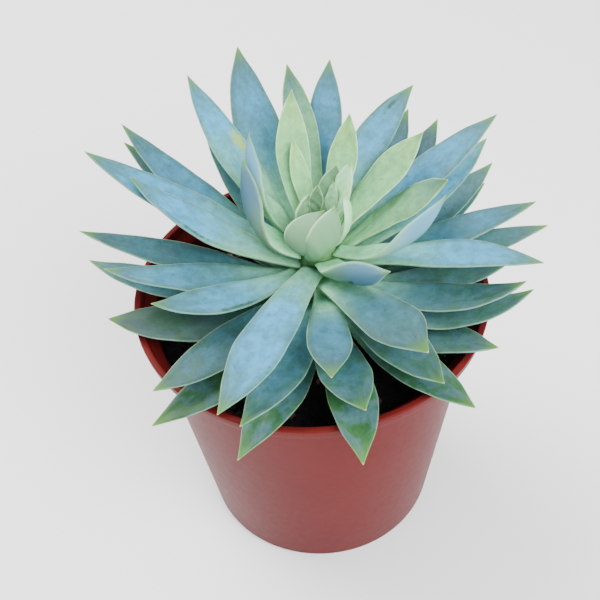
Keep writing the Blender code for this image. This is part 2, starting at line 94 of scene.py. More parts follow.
# The large leaves, from the oldest at the foot of the stem to the youngest.
LEAVES = (
    Leaf(276, 55.5, 0, -6, 11.5, 0.66, 4, 7, 1.3),
    Leaf(247, 55.5, -1, -5, 12, 0.6, 4, 7, 4.5),
    Leaf(224, 57.5, -1, -5, 12, 0.58, 4, 7, 8.5),
    Leaf(187, 54, 0, -3, 13.5, 0.55, 3, 6, 10),
    Leaf(326, 48.5, 3, -4, 11, 0.6, 1, 1, -2.5),
    Leaf(306, 54.5, 3, -5, 11.5, 0.6, 3, 3, -2),
    Leaf(60, 50, 4, -5, 11, 0.58, 2, 2),
    Leaf(88, 50, 4, -5, 11, 0.58, 2, 2),
    Leaf(113, 50, 4, -5, 11, 0.58, 2, 2),
    Leaf(137, 48, 5, -3, 11, 0.58, 2, 2),
    Leaf(172, 59, 7, -1, 10.5, 0.55, -1, -2, 6),
    Leaf(29, 52, 9, 0, 10, 0.6, 0, 0, -1),
    Leaf(4, 57.5, 12, 0, 10, 0.55, 0, 0, 1),
    Leaf(345, 52.5, 8, 0, 10.5, 0.55, -3, -5, -10),
    Leaf(78, 44, 13, 0, 10.5, 0.58),
    Leaf(120, 50, 16, 0, 10.5, 0.58),
    Leaf(353, 46, 9, 2, 9.5, 0.55, -1, -1, -3),
    Leaf(28, 53, 16, 2, 9.5, 0.6, 0, 0, -3),
    Leaf(49, 52.5, 20, 1, 10, 0.6, 0, 0, -2),
    Leaf(57, 49, 23, 3, 9.5, 0.6, 0, 0, -1),
    Leaf(146, 58, 25, 2, 10, 0.55, 0, 0, 1.5),
    Leaf(130, 42, 27, 2, 9, 0.5),
    Leaf(278, 50, 12, 2.5, 12, 0.68, 1, 2, -2),
    Leaf(248, 54, 10, 3.5, 11, 0.6, 2, 2, 4.5),
    Leaf(222, 54, 7, 4.5, 11.5, 0.6, 1, 2, 4),
    Leaf(300, 49.5, 11, 5.5, 12.5, 0.65, 2, 2, -1),
    Leaf(341, 50.5, 14, 5.5, 10, 0.55, -2, -4, -6),
    Leaf(173, 59, 18, 5, 9.5, 0.5),
    Leaf(1, 52.5, 23, 7.5, 9.5, 0.58, 2, 3, -1),
    Leaf(183, 52.5, 14, 6.5, 10, 0.48, -1, -2, 4),
    Leaf(27, 49.5, 26, 8.5, 10, 0.58, 0, 0, -3),
    Leaf(270, 46.5, 20, 10.5, 10, 0.72, 2, 3, 1, -18),
    Leaf(148, 55.5, 33, 8.5, 10, 0.5, 0, 0, 2),
    Leaf(297, 46.5, 20, 10.5, 13.5, 0.74, 3, 5, -2, -20),
    Leaf(25, 50.5, 34, 9.5, 10.5, 0.58, 0, 0, 1),
    Leaf(206, 44, 18, 9.5, 10, 0.6, 0, -1, 4.5),
    Leaf(162, 58, 34, 9, 11, 0.5, -1, -1, 1),
    Leaf(110, 49.5, 42, 9.5, 12, 0.6, 0, 0, 2.6, 2),
    Leaf(82, 47.5, 36, 11.5, 9, 0.62, 0, 0, 1.2, -3),
    Leaf(347, 54, 15, 11.5, 9.5, 0.58, 1, 3, -2),
    Leaf(244, 56, 15, 12.5, 11.5, 0.64, 3, 4, 2.5, neck=0.52),
    Leaf(53, 45, 34, 11.5, 10, 0.62, 0, 0, 4),
    Leaf(127, 50, 39, 10.5, 9.5, 0.52, 0, 0, 2.8),
    Leaf(96, 45, 37, 12.5, 8.5, 0.6, 0, 0, -1),
    Leaf(165, 46, 30, 9.5, 10, 0.5, -3, -3, 6, 10),
    Leaf(299, 30, 30, 12, 8.4, 0.46, -1, -1, -2, -24, -80, 1.3, 0.75),
    Leaf(3, 31, 31, 13.2, 10, 0.62, -4, -4, 4),
    Leaf(352, 30, 31.5, 13.5, 6.2, 0.52, -4.5, -3.5, -5, -20, -80, 1.3, 0.65),
    Leaf(33, 32.5, 33, 14.8, 9.5, 0.6, 0, 0, 0.5),
    Leaf(67, 25, 36, 15, 7.5, 0.6, 0, 0, -0.8, -6),
    Leaf(98, 28, 41, 14.3, 8.5, 0.55, 0, 0, 2.5, 3),
    Leaf(146, 20, 34, 10.5, 8, 0.44, -8, -2, 5, 50, 75, 1.5, 0.7),
    Leaf(133, 21.5, 38, 14.5, 6.4, 0.45, -2.5, -4, 3, 30, 95, 1.5),
    Leaf(105, 18, 34, 16, 4.8, 0.55),
)

# The small leaves of the bud, which grow from the core at the shoot's tip.
BUD_LEAVES = (
    Leaf(14, 8.5, 38, 16, 7, 0.6, 0, 0, 0, 20),
    Leaf(50, 8, 34, 19, 6, 0.6, -1, -1, -1, 50),
    Leaf(335, 4.5, 28.5, 14, 9.4, 0.45, -3.5, -3, -1, -100),
    Leaf(350, 6, 31, 15.5, 7.5, 0.5, -2.5, -2.5),
    Leaf(330, 2, 26.5, 15.2, 10.6, 0.54, -5, -4.5, -2.8, -130),
    Leaf(118, 3.6, 28, 17.5, 7, 0.5, -1, -1, 0, 30),
    Leaf(30, 5, 32, 17, 4, 0.5, -1, -1, 0, 30),
    Leaf(80, 3, 31, 19, 3.5, 0.5, -1, -1, 0, 20),
)

BUD_ROOT_SINK = 0.8
HANDLE_STATIONS = (0.34, 0.70)
STATIONS = 13
TIP_CROWDING = 1.12
ROLL_SPAN = (0.15, 0.85)
TAPER_POWERS = (1.6, 0.88)
THICKNESS_SHARE = 0.30
THICKNESS_CURVE = (0.62, 0.90, -1.25)
THINNEST_SHARE = 0.12

# A leaf's cross-section, going round: across in half widths, up in thicknesses. The top is a
# shallow trough and the underside a blunt keel.
SECTION = np.array(
    [(1, 0), (0.5, 0.10), (0, 0.04), (-0.5, 0.10), (-1, 0), (-0.62, -0.72), (0, -1), (0.62, -0.72)]
)
TOP_RISE = 0.10

# How the leaves press each other, the rim and the soil apart as they grow. Each handle of a
# leaf's centre line gives by its own share, and springs back towards where it was drawn.
PRESS_ROUNDS = 180
PRESS_STEP = 1.5
ROOT_STEP = 0.5
LEAST_LOAD = 1e-6
LEAF_GAP = 0.5
TOUCH_DEPTH = 5.0
TOUCH_SPAN = 0.75
TOUCH_SIDE = 0.2
EDGE_ROLL = 40.0
KEEL_ROUNDING = 0.6
HANDLE_GIVE = np.array([0.35, 1.0, 1.0, 0.12])
SPRING_BACK = np.array([0.004, 0.010, 0.010, 0.040])[:, None]
RIM_LIFT = 0.5
SOIL_LIFT = 0.6
RIM_ZONE = (40.0, 47.0)
NO_FLOOR = -100.0

ALONG = 1 - (1 - np.linspace(0, 1, STATIONS)) ** TIP_CROWDING


def unit(vectors):
    return vectors / np.linalg.norm(vectors, axis=-1, keepdims=True)


def heading(bearing):
    return np.array([cos(radians(bearing)), sin(radians(bearing)), 0.0])


def stem_radius(height):
    return np.clip(STEM_RADIUS - STEM_TAPER * height, STEM_THINNEST, STEM_THICKEST)


def wall_radius(height):
    """The pot's outer radius at a height over its base, below the step under the rim."""
    step_foot = POT_HEIGHT - RIM_HEIGHT - STEP_HEIGHT
    return BASE_RADIUS + (WALL_TOP_RADIUS - BASE_RADIUS) * height / step_foot


def smooth_step(low, high, value):
    share = np.clip((value - low) / (high - low), 0, 1)
    return share**2 * (3 - 2 * share)


def half_widths(leaf, along):
    """Half the leaf's width at each station: it swells to the belly and narrows to a point."""
    rise = leaf.neck + (1 - leaf.neck) * smooth_step(0, leaf.belly, along)
    beyond = np.clip((along - leaf.belly) / (1 - leaf.belly), 0, 1)
    fall = (1 - beyond ** TAPER_POWERS[0]) ** TAPER_POWERS[1]
    return leaf.width / 2 * np.where(along < leaf.belly, rise, fall)


def thicknesses(leaf, along):
    start, slope, bend = THICKNESS_CURVE
    share = np.clip(start + slope * along + bend * along**2, THINNEST_SHARE, None)
    return THICKNESS_SHARE * leaf.width * leaf.fat * share


def curve_weights(along):
    back = 1 - along
    return np.stack([back**3, 3 * along * back**2, 3 * along**2 * back, along**3], axis=1)


def slope_weights(along):
    back = 1 - along
    inner = 3 * back * (1 - 3 * along)
    outer = 3 * along * (2 - 3 * along)
    return np.stack([-3 * back**2, inner, outer, 3 * along**2], axis=1)


CURVE = curve_weights(ALONG)


def facing(leaf):
    """The bearing that the leaf's blade looks away from the shoot, in radians."""
    return radians(leaf.bearing + leaf.twist / 2)


def drawn_handles(leaf, root_gap):
    """The four handles of the leaf's centre line, from the shoot's axis at the rim's height."""
    root = heading(leaf.bearing + leaf.twist) * (stem_radius(leaf.root) + root_gap)
    root[2] = leaf.root
    tip = heading(leaf.bearing) * leaf.reach
    tip[2] = leaf.tip
    side = np.array([-sin(facing(leaf)), cos(facing(leaf)), 0.0])
    chord = tip - root
    up = unit(np.cross(chord, side))
    inner, outer = HANDLE_STATIONS
    return np.array(
        [
            root,
            root + chord * inner + up * leaf.bow + side * leaf.sweep,
            root + chord * outer + up * leaf.bow_out + side * leaf.sweep,
            tip,
        ]
    )


def leaf_frames(handles, facings, rolls, stations):
    """Each leaf's centre line, and its directions along, across and up, at every station."""
    centre = np.einsum("sh,lhj->lsj", curve_weights(stations), handles)
    along = unit(np.einsum("sh,lhj->lsj", slope_weights(stations), handles))
    level = np.stack([-np.sin(facings), np.cos(facings), 0 * facings], axis=1)[:, None]
    across = unit(level - along * (level * along).sum(axis=-1, keepdims=True))
    up = np.cross(along, across)
    roll = (rolls[:, None] * smooth_step(*ROLL_SPAN, stations))[..., None]
    rolled = np.cos(roll) * across + np.sin(roll) * up
    return centre, along, rolled, np.cos(roll) * up - np.sin(roll) * across


def leaf_rings(frames, half, thick):
    """The rings of points round each leaf, at every station but the tip."""
    centre, _, across, up = (part[:, :-1, None] for part in frames)
    sideways = half[:, :-1, None, None] * SECTION[:, 0:1]
    upward = thick[:, :-1, None, None] * SECTION[:, 1:2]
    return centre + across * sideways + up * upward


def overlap_depth(leaf, points, above, on_edge, frames, half, thick):
    """How far each point is inside the leaf's clearance, its nearest station and the way out."""
    centre, along, across, up = (part[leaf] for part in frames)
    offset = points[:, None] - centre
    station = (offset**2).sum(axis=-1).argmin(axis=1)
    offset = offset[np.arange(len(points)), station]
    ahead = (offset * along[station]).sum(axis=-1)
    aside = np.abs((offset * across[station]).sum(axis=-1))
    height = (offset * up[station]).sum(axis=-1)
    above = np.where(on_edge[station], height > 0, above)
    span = np.linalg.norm(centre[1:] - centre[:-1], axis=1).mean()
    beside = (np.abs(ahead) < TOUCH_SPAN * span) & (aside < half[leaf][station] + TOUCH_SIDE)
    edge = np.clip(aside / np.maximum(half[leaf][station], GAP), 0, 1)
    top = thick[leaf][station] * TOP_RISE * (1 - edge**2)
    keel = thick[leaf][station] * (1 - edge**2) ** KEEL_ROUNDING
    depth = np.where(above, top + LEAF_GAP - height, height + keel + LEAF_GAP)
    near = np.where(above, height > -TOUCH_DEPTH, height < TOUCH_DEPTH)
    way_out = up[station] * np.where(above, 1, -1)[:, None]
    return np.where(beside & near, depth, 0), station, way_out


def share_push(push, load, owners, curve, depth, way_out, total):
    """Adds each contact's push to its leaf's handles, by how much they move that point."""
    for handle, give in enumerate(HANDLE_GIVE):
        weight = curve[:, handle]
        amount = depth / total * give * weight**2
        np.add.at(push[:, handle], owners, amount[:, None] * way_out)
        np.add.at(load[:, handle], owners, weight)


def press_on(leaf, on_edge, rings, frames, half, thick, push, load):
    """Pushes a leaf and those that touch it apart.

    A younger leaf lies above an older one, but a blade on edge is passed on the nearer side.
    """
    low = rings.min(axis=(1, 2)) - 1
    high = rings.max(axis=(1, 2)) + 1
    close = (low < high[leaf]).all(axis=1) & (high > low[leaf]).all(axis=1)
    close[leaf] = False
    others = np.nonzero(close)[0]
    if not len(others):
        return
    each = rings.shape[1] * rings.shape[2]
    points = rings[others].reshape(-1, 3)
    owners = np.repeat(others, each)
    own_station = np.tile(np.repeat(np.arange(rings.shape[1]), rings.shape[2]), len(others))
    above = owners > leaf
    depth, station, way_out = overlap_depth(leaf, points, above, on_edge, frames, half, thick)
    hit = np.nonzero(depth > 0)[0]
    theirs = CURVE[own_station[hit]]
    ours = CURVE[station[hit]]
    total = (HANDLE_GIVE * (theirs**2 + ours**2)).sum(axis=1)
    share_push(push, load, owners[hit], theirs, depth[hit], way_out[hit], total)
    share_push(push, load, np.full(len(hit), leaf), ours, depth[hit], -way_out[hit], total)


def lift_off_pot(rings, push, load):
    """Lifts what would sink into the soil or the rim."""
    leaves, stations, _, _ = rings.shape
    points = rings.reshape(leaves, -1, 3)
    radius = np.hypot(points[..., 0] + SHOOT_X, points[..., 1] + SHOOT_Y)
    floor = np.where(radius < RIM_ZONE[1], RIM_LIFT, NO_FLOOR)
    floor = np.where(radius < RIM_ZONE[0], SOIL_LIFT - SOIL_DROP, floor)
    depth = floor - points[..., 2]
    owners, low = np.nonzero(depth > 0)
    curve = CURVE[low // len(SECTION)]
    total = (HANDLE_GIVE * curve**2).sum(axis=1)
    way_out = np.tile([0.0, 0.0, 1.0], (len(owners), 1))
    share_push(push, load, owners, curve, depth[owners, low], way_out, total)


def seat_roots(handles, root_rings, root_gaps):
    """Keeps each root at its bearing, with all of its ring just off the stem."""
    radius = np.hypot(root_rings[..., 0], root_rings[..., 1])
    sunk = (stem_radius(root_rings[..., 2]) + GAP - radius).max(axis=1)
    root_gaps[:] = np.maximum(root_gaps + ROOT_STEP * sunk, GAP)
    roots = handles[:, 0]
    roots[:, :2] = unit(roots[:, :2]) * (stem_radius(roots[:, 2]) + root_gaps)[:, None]


def bud_handles():
    return np.array([drawn_handles(leaf, -BUD_ROOT_SINK) for leaf in BUD_LEAVES])


def leaf_forms(leaves):
    """The leaves' facings, rolls, half widths and thicknesses, each as one array."""
    facings = np.array([facing(leaf) for leaf in leaves])
    rolls = np.radians([leaf.roll for leaf in leaves])
    half = np.array([half_widths(leaf, ALONG) for leaf in leaves])
    thick = np.array([thicknesses(leaf, ALONG) for leaf in leaves])
    return facings, rolls, half, thick


def bud_rings():
    facings, rolls, half, thick = leaf_forms(BUD_LEAVES)
    return leaf_rings(leaf_frames(bud_handles(), facings, rolls, ALONG), half, thick)


def grow(leaves):
    """The handles of each large leaf, once they have pressed each other clear."""
    drawn = np.array([drawn_handles(leaf, GAP) for leaf in leaves])
    root_gaps = np.full(len(leaves), GAP)
    facings, rolls, half, thick = leaf_forms(leaves)
    on_edge = np.abs(rolls)[:, None] * smooth_step(*ROLL_SPAN, ALONG) > radians(EDGE_ROLL)
    handles = drawn.copy()
    fixed_rings = bud_rings()
    for _ in range(PRESS_ROUNDS):
        frames = leaf_frames(handles, facings, rolls, ALONG)
        rings = leaf_rings(frames, half, thick)
        all_rings = np.concatenate([rings, fixed_rings])
        push = np.zeros((len(all_rings), 4, 3))
        load = np.full(push.shape[:2], LEAST_LOAD)
        for leaf in range(len(leaves)):
            press_on(leaf, on_edge[leaf], all_rings, frames, half, thick, push, load)
        lift_off_pot(rings, push, load)
        handles += (PRESS_STEP * push / load[..., None])[: len(leaves)]
        handles += (drawn - handles) * SPRING_BACK
        seat_roots(handles, rings[:, 0], root_gaps)
    return handles


# The finished leaf: the same form, drawn smooth and fine.
FINE_STATIONS = 60
FINE_TIP_CROWDING = 1.5
FINE_SIDES = 40
TROUGH = (0.04, 0.3333, 0.3733)
KEEL_POWER = 0.62
TIP_PINCH = (0.84, 0.26)
TIP_TAPER = 0.07
TIP_ROUNDING = 0.6
WOBBLE = 0.022
WOBBLE_WAVES = 4
WOBBLE_RATE = 2
DENT = 0.18
DENT_WAVES = 3
DENT_RATE = 3
WAVE_RATES = (2.2, 4.2)
DENT_FROM = 0.2

FINE_ALONG = 1 - (1 - np.linspace(0, 1, FINE_STATIONS)) ** FINE_TIP_CROWDING


def section_points():
    """Going round the leaf: across in half widths, up in thicknesses, and if on top."""
    turn = 2 * pi * np.arange(FINE_SIDES) / FINE_SIDES
    across = np.cos(turn)
    on_top = np.sin(turn) >= 0
    base, rise, fall = TROUGH
    top = base + rise * across**2 - fall * across**4
    keel = -np.clip(1 - across**2, 0, None) ** KEEL_POWER
    return across, np.where(on_top, top, keel), on_top


def waves(rng, values, count):
    """A smooth random wave along the values, between about -1 and 1."""
    total = np.zeros_like(values)
    for wave in range(1, count + 1):
        phase = values * wave * rng.uniform(*WAVE_RATES) + rng.uniform(0, 2 * pi)
        total += np.sin(phase) / wave**0.5
    return total / count**0.5


def shape_leaf(leaf, handles, seed):
    """The finished leaf's points, ring by ring, with where each one lies on the leaf."""
    rng = np.random.default_rng(seed)
    facings = np.array([facing(leaf)])
    frames = leaf_frames(handles[None], facings, np.radians([leaf.roll]), FINE_ALONG)
    centre, _, across, up = (part[0] for part in frames)
    half = half_widths(leaf, FINE_ALONG)
    pinch_from, pinch = TIP_PINCH
    half = half * (1 - pinch * smooth_step(pinch_from, 1, FINE_ALONG))
    thick = thicknesses(leaf, FINE_ALONG)
    thick = thick * np.clip((1 - FINE_ALONG) / TIP_TAPER, 0, 1) ** TIP_ROUNDING
    side, height, on_top = section_points()
    sideways = half[:, None] * side
    for sign in (1, -1):
        wobble = 1 + WOBBLE * waves(rng, FINE_ALONG * WOBBLE_RATE, WOBBLE_WAVES)
        sideways = np.where(side * sign > 0, sideways * wobble[:, None], sideways)
    lift = thick[:, None] * height
    slant = side * rng.uniform(-1, 1)
    dent = waves(rng, FINE_ALONG[:, None] * DENT_RATE + slant, DENT_WAVES)
    fade = (half / half.max())[:, None] * np.clip(FINE_ALONG / DENT_FROM, 0, 1)[:, None]
    lift = lift + DENT * dent * fade
    points = centre[:, None] + across[:, None] * sideways[..., None] + up[:, None] * lift[..., None]
    marks = {
        "along": np.repeat(FINE_ALONG, FINE_SIDES),
        "across": np.tile(side, FINE_STATIONS),
        "from_margin": (half[:, None] * (1 - np.abs(side))).ravel(),
        "top_side": np.tile(on_top, FINE_STATIONS),
    }
    return points, marks


def new_piece(name, points, faces, material, replaced=()):
    mesh = bpy.data.meshes.new(name)
    mesh.from_pydata((np.asarray(points) * MM).tolist(), [], faces)
    mesh.validate()
    mesh.shade_smooth()
    mesh.materials.append(material)
    piece = bpy.data.objects.new(name, mesh)
    bpy.context.scene.collection.objects.link(piece)
    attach(piece, "root")
    if replaced:
        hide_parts(*replaced)
    return piece


def add_marks(piece, marks):
    for name, values in marks.items():
        layer = piece.data.attributes.new(name, "FLOAT", "POINT")
        layer.data.foreach_set("value", np.asarray(values, np.float32))


def ring_faces(rings, around):
    """The four-sided faces between rings of points, facing out where the rings go down."""
    for ring in range(rings - 1):
        for side in range(around):
            near = ring * around + side
            beside = ring * around + (side + 1) % around
            yield near, near + around, beside + around, beside


def tube_faces(rings, around):
    """The faces of a tube, facing out, with its first end closed."""
    faces = [tuple(range(around))[::-1]]
    for near, far, far_beside, beside in ring_faces(rings, around):
        faces.append((near, beside, far_beside, far))
    return faces


# The single marks that stand out. Along and across say where each is on its leaf, and long and
# broad how far it spreads either way. The leaves are numbered as in LEAVES, from 1.
Spot = namedtuple("Spot", "leaf kind along across long broad")
SPOTS = (
    Spot(45, "scrape", 0.56, 0.82, 0.14, 0.12),
    Spot(43, "crease", 0.58, -0.62, 0.09, 0.36),
    Spot(27, "scrape", 0.78, -0.35, 0.12, 0.30),
    Spot(42, "scrape", 0.84, 0.35, 0.06, 0.30),
    Spot(42, "scrape", 0.80, 0.92, 0.13, 0.10),
    Spot(36, "scrape", 0.52, 0.86, 0.16, 0.10),
    Spot(46, "scrape", 0.55, 0.10, 0.08, 0.30),
)


def spot_marks(number, along, across):
    """How strongly each kind of mark lies at each of the leaf's points."""
    marks = {"scrape": np.zeros_like(along), "crease": np.zeros_like(along)}
    for spot in SPOTS:
        if spot.leaf == number:
            ahead = (along - spot.along) / spot.long
            aside = (across - spot.across) / spot.broad
            share = np.exp(-(ahead**2 + aside**2))
            marks[spot.kind] = np.maximum(marks[spot.kind], share)
    return marks


# Each leaf takes its own random place in the noises, so that no two are marked alike.
BUD_SEED = 100
DRAW_SEED = 500
DRAW_SPAN = 100.0


def make_leaf(name, leaf, handles, look, seed, material, slot, replaced=()):
    """One finished leaf. The seed of a large one is its number in LEAVES, less one."""
    points, marks = shape_leaf(leaf, handles, seed)
    points = points + (SHOOT_X, SHOOT_Y, POT_HEIGHT)
    rings = FINE_STATIONS - 1
    body = points[:rings].reshape(-1, 3)
    tip = points[rings].mean(axis=0)
    faces = tube_faces(rings, FINE_SIDES)
    last = (rings - 1) * FINE_SIDES
    end = rings * FINE_SIDES
    faces += [(last + side, last + (side + 1) % FINE_SIDES, end) for side in range(FINE_SIDES)]
    piece = new_piece(name, np.vstack([body, tip]), faces, material, replaced)
    marks = {key: np.append(values[:end], values[-1]) for key, values in marks.items()}
    draw = np.random.default_rng(seed + DRAW_SEED).uniform(0, DRAW_SPAN)
    # Every point carries the look's values; light, inner and under among them are painted light and
    # shade.
    for key, value in {**look._asdict(), "draw": draw}.items():
        marks[key] = np.full(end + 1, value)
    marks.update(spot_marks(seed + 1, marks["along"], marks["across"]))
    chord = np.linalg.norm(handles[3] - handles[0])
    marks["length"] = marks["along"] * chord
    marks["breadth"] = marks["across"] * leaf.width / 2
    add_marks(piece, marks)


def linear(red, green, blue):
    """A colour as a screen shows it, 0 to 255, as the linear values that a shader takes."""
    shares = (red / 255, green / 255, blue / 255)
    return (*(c / 12.92 if c < 0.04045 else ((c + 0.055) / 1.055) ** 2.4 for c in shares), 1)


class Graph:
    """Builds one material's nodes in short calls. A value may be a number, a socket or None."""

    def __init__(self, name):
        self.material = bpy.data.materials.new(name)
        self.material.use_nodes = True
        self.tree = self.material.node_tree
        self.surface = self.tree.nodes["Principled BSDF"]

    def feed(self, socket, value):
        if isinstance(value, bpy.types.NodeSocket):
            self.tree.links.new(value, socket)
        elif value is not None:
            socket.default_value = value

    def add(self, kind, inputs, output=0, **settings):
        node = self.tree.nodes.new("ShaderNode" + kind)
        for name, value in settings.items():
            setattr(node, name, value)
        for name, value in inputs.items():
            self.feed(node.inputs[name], value)
        return node.outputs[output]

    def mark(self, name):
        return self.add("Attribute", {}, "Fac", attribute_name=name)

    def times(self, product, *factors):
        for factor in factors:
            product = self.add("Math", {0: product, 1: factor}, operation="MULTIPLY")
        return product

    def plus(self, total, *terms):
        for term in terms:
            total = self.add("Math", {0: total, 1: term}, operation="ADD")
        return total

    def band(self, value, low, high, start=0.0, end=1.0):
        """Goes smoothly from start to end as the value goes from low to high."""
        return self.add(
            "MapRange",
            {"Value": value, 1: low, 2: high, 3: start, 4: end},
            interpolation_type="SMOOTHSTEP",
        )

    def mix(self, share, first, second, mode="MIX"):
        return self.add(
            "Mix", {0: share, 6: first, 7: second}, 2, data_type="RGBA", blend_type=mode
        )

    def fade(self, value, low, high, first, second):
        """Goes smoothly from one colour to another as the value goes from low to high."""
        return self.mix(self.band(value, low, high), first, second)

    def lit(self, color, light):
        return self.mix(1.0, color, self.vector(light, light, light), "MULTIPLY")

    def vector(self, x, y, z):
        return self.add("CombineXYZ", {0: x, 1: y, 2: z})

    def place(self):
        """The point's place in the object, in millimetres."""
        place = self.add("TexCoord", {}, "Object")
        return self.add("VectorMath", {0: place, "Scale": 1 / MM}, operation="SCALE")

    def noise(self, place, scale, detail=2.0, roughness=0.5):
        return self.add(
            "TexNoise",
            {"Vector": place, "Scale": scale, "Detail": detail, "Roughness": roughness},
        )

    def bump(self, height, distance, strength=1.0, normal=None):
        settings = {"Height": height, "Distance": distance * MM, "Strength": strength}
        return self.add("Bump", {**settings, "Normal": normal})

    def finish(self, color, roughness, normal=None, **fixed):
        self.feed(self.surface.inputs["Base Color"], color)
        self.feed(self.surface.inputs["Roughness"], roughness)
        self.feed(self.surface.inputs["Normal"], normal)
        for name, value in fixed.items():
            self.surface.inputs[name.replace("_", " ")].default_value = value
        return self.material


BLOOM_BLUE = linear(54, 132, 167)
DEEP_TEAL = linear(62, 93, 87)
BASE_GREEN = linear(98, 150, 116)
INNER_GREEN = linear(112, 174, 114)
INNER_YELLOW = linear(142, 178, 84)
BUD_GREEN = linear(126, 174, 130)
TIP_GREEN = linear(78, 122, 44)
TIP_TAN = linear(190, 140, 84)
MARGIN_PALE = linear(142, 186, 136)
MARGIN_YOUNG = linear(184, 216, 170)
RUBBED_GREEN = linear(44, 88, 36)
SMUDGE_BLUE = linear(30, 62, 80)
SCRAPE_GREEN = linear(36, 72, 50)
CREASE_YELLOW = linear(142, 164, 76)
UNDER_BLUE = linear(76, 120, 140)
UNDER_GREEN = linear(112, 152, 116)

# How fine each noise on a leaf is, per millimetre, with its detail and its roughness.
LEAF_NOISES = {
    "cloud": (0.11, 3, 0.5),
    "patch": (0.20, 3, 0.6),
    "mottle": (0.45, 4, 0.6),
    "smudge": (0.50, 4, 0.7),
    "ragged": (0.80, 5, 0.75),
    "powder": (1.10, 5, 0.7),
    "speck": (2.10, 2, 0.5),
    "grain": (3.00, 3, 0.6),
}

# How far green_to goes, in LOOKS below, as leaves get younger: the inner leaves, the innermost
# ones, and the bud's.
YOUNG = (0.6, 1.1)
INNERMOST = (1.2, 1.35)
BUD = (1.35, 1.42)


class LeafGraph(Graph):
    """A leaf's graph, with what more than one part of its colour reads."""

    def __init__(self, name):
        super().__init__(name)
        self.on_leaf = self.vector(self.mark("length"), self.mark("breadth"), self.mark("draw"))
        self.along = self.mark("along")
        self.edge = self.add("Math", {0: self.mark("across")}, operation="ABSOLUTE")
        self.green_to = self.mark("green_to")
        self.young = self.band(self.green_to, *YOUNG)
        self.bud = self.band(self.green_to, *BUD)
        self.cloud = self.leaf_noise("cloud")
        self.mottle = self.leaf_noise("mottle")

    def leaf_noise(self, name):
        return self.noise(self.on_leaf, *LEAF_NOISES[name])


def leaf_wax(g):
    """How thick the blue bloom lies: it thins to the root, the tip, the edges and in patches."""
    return g.times(
        g.mark("bloom"),
        g.band(g.cloud, 0.28, 0.66, 0.50, 1.0),
        g.band(g.along, 0.06, 0.48, 0.35, 1.0),
        g.band(g.along, 0.70, 0.97, 1.0, 0.15),
        g.band(g.edge, 0.55, 0.95, 1.0, 0.35),
    )


def unwaxed(g):
    """The pale green of a leaf's base, with gold towards the tips of the inner leaves."""
    pale = g.mix(g.young, BASE_GREEN, INNER_GREEN)
    pale = g.mix(g.bud, pale, BUD_GREEN)
    gold = g.band(g.plus(g.along, g.times(g.cloud, 0.5)), 0.75, 1.15)
    off_bud = g.band(g.green_to, 1.40, 1.35, 0.0, 0.40)
    return g.mix(g.times(gold, g.young, off_bud), pale, INNER_YELLOW)


def worn(g, color):
    """Rubbed green patches on the outer half, dark smudges and small dark specks."""
    rubbed = g.band(g.leaf_noise("patch"), 0.42, 0.55)
    rubbed = g.times(rubbed, g.band(g.along, 0.35, 0.65), g.mark("rub"))
    color = g.mix(g.times(rubbed, 0.85), color, RUBBED_GREEN)
    dark = g.band(g.leaf_noise("smudge"), 0.60, 0.70)
    old = g.plus(g.times(g.young, -0.42), 0.48)
    color = g.mix(g.times(dark, g.band(g.along, 0.3, 0.5), old), color, SMUDGE_BLUE)
    speck = g.band(g.leaf_noise("speck"), 0.69, 0.74)
    return g.mix(g.times(speck, 0.60), color, SMUDGE_BLUE), rubbed


def top_side(g, reach, streak):
    """The upper side's colour with its painted light and shade, and where its bloom is rubbed off.
    """
    body = g.mix(leaf_wax(g), DEEP_TEAL, BLOOM_BLUE)
    turns = g.plus(g.green_to, -0.34), g.plus(g.green_to, 0.26)
    green = g.band(reach, *turns, 1.0, 0.0)
    color = g.mix(g.times(green, 0.92), body, unwaxed(g))
    color, rubbed = worn(g, color)
    shade = g.times(
        g.band(streak, 0.25, 0.75, 0.95, 1.03),
        g.band(g.leaf_noise("powder"), 0.3, 0.7, 0.93, 1.05),
        g.band(g.mottle, 0.3, 0.7, 0.82, 1.14),
    )
    # Painted light and shade: the leaf's light value lightens or darkens the whole top, and its
    # inner value lightens the inner third where it lies in shade.
    inner = g.band(g.along, 0.12, 0.55, g.mark("inner"), 1.0)
    color = g.lit(g.lit(color, shade), g.times(g.mark("light"), inner))
    return color, rubbed


def underside(g, reach):
    under = g.fade(reach, 0.30, 0.75, UNDER_GREEN, UNDER_BLUE)
    under = g.fade(g.green_to, *INNERMOST, under, UNDER_GREEN)
    under = g.mix(g.bud, under, BUD_GREEN)
    # Painted light and shade: the leaf's under value lightens or darkens the whole underside,
    # partly for its own tone.
    return g.lit(under, g.mark("under"))


def single_marks(g, color):
    """The few scrapes and creases that stand out, with ragged edges."""
    ragged = g.plus(g.times(g.leaf_noise("ragged"), 1.9), -0.95)
    for kind, shade in (("scrape", SCRAPE_GREEN), ("crease", CREASE_YELLOW)):
        share = g.band(g.plus(g.mark(kind), ragged), 0.42, 0.85, 0.0, 0.80)
        color = g.mix(share, color, shade)
    return color


def margin_and_tip(g, color):
    """A thin pale line along the margin, and a green tip that ends in a tan point."""
    width = g.plus(g.times(g.young, 0.10), 0.30)
    margin = g.times(
        g.band(g.mark("from_margin"), 0.06, width, 1.0, 0.0),
        g.band(g.along, 0.0, 0.15),
        g.band(g.mottle, 0.3, 0.6, 0.55, 1.0),
        g.plus(g.times(g.young, 0.35), 0.36),
    )
    color = g.mix(margin, color, g.mix(g.young, MARGIN_PALE, MARGIN_YOUNG))
    color = g.mix(g.times(g.band(g.along, 0.88, 0.985), 0.65), color, TIP_GREEN)
    return g.fade(g.along, 0.985, 0.999, color, TIP_TAN)


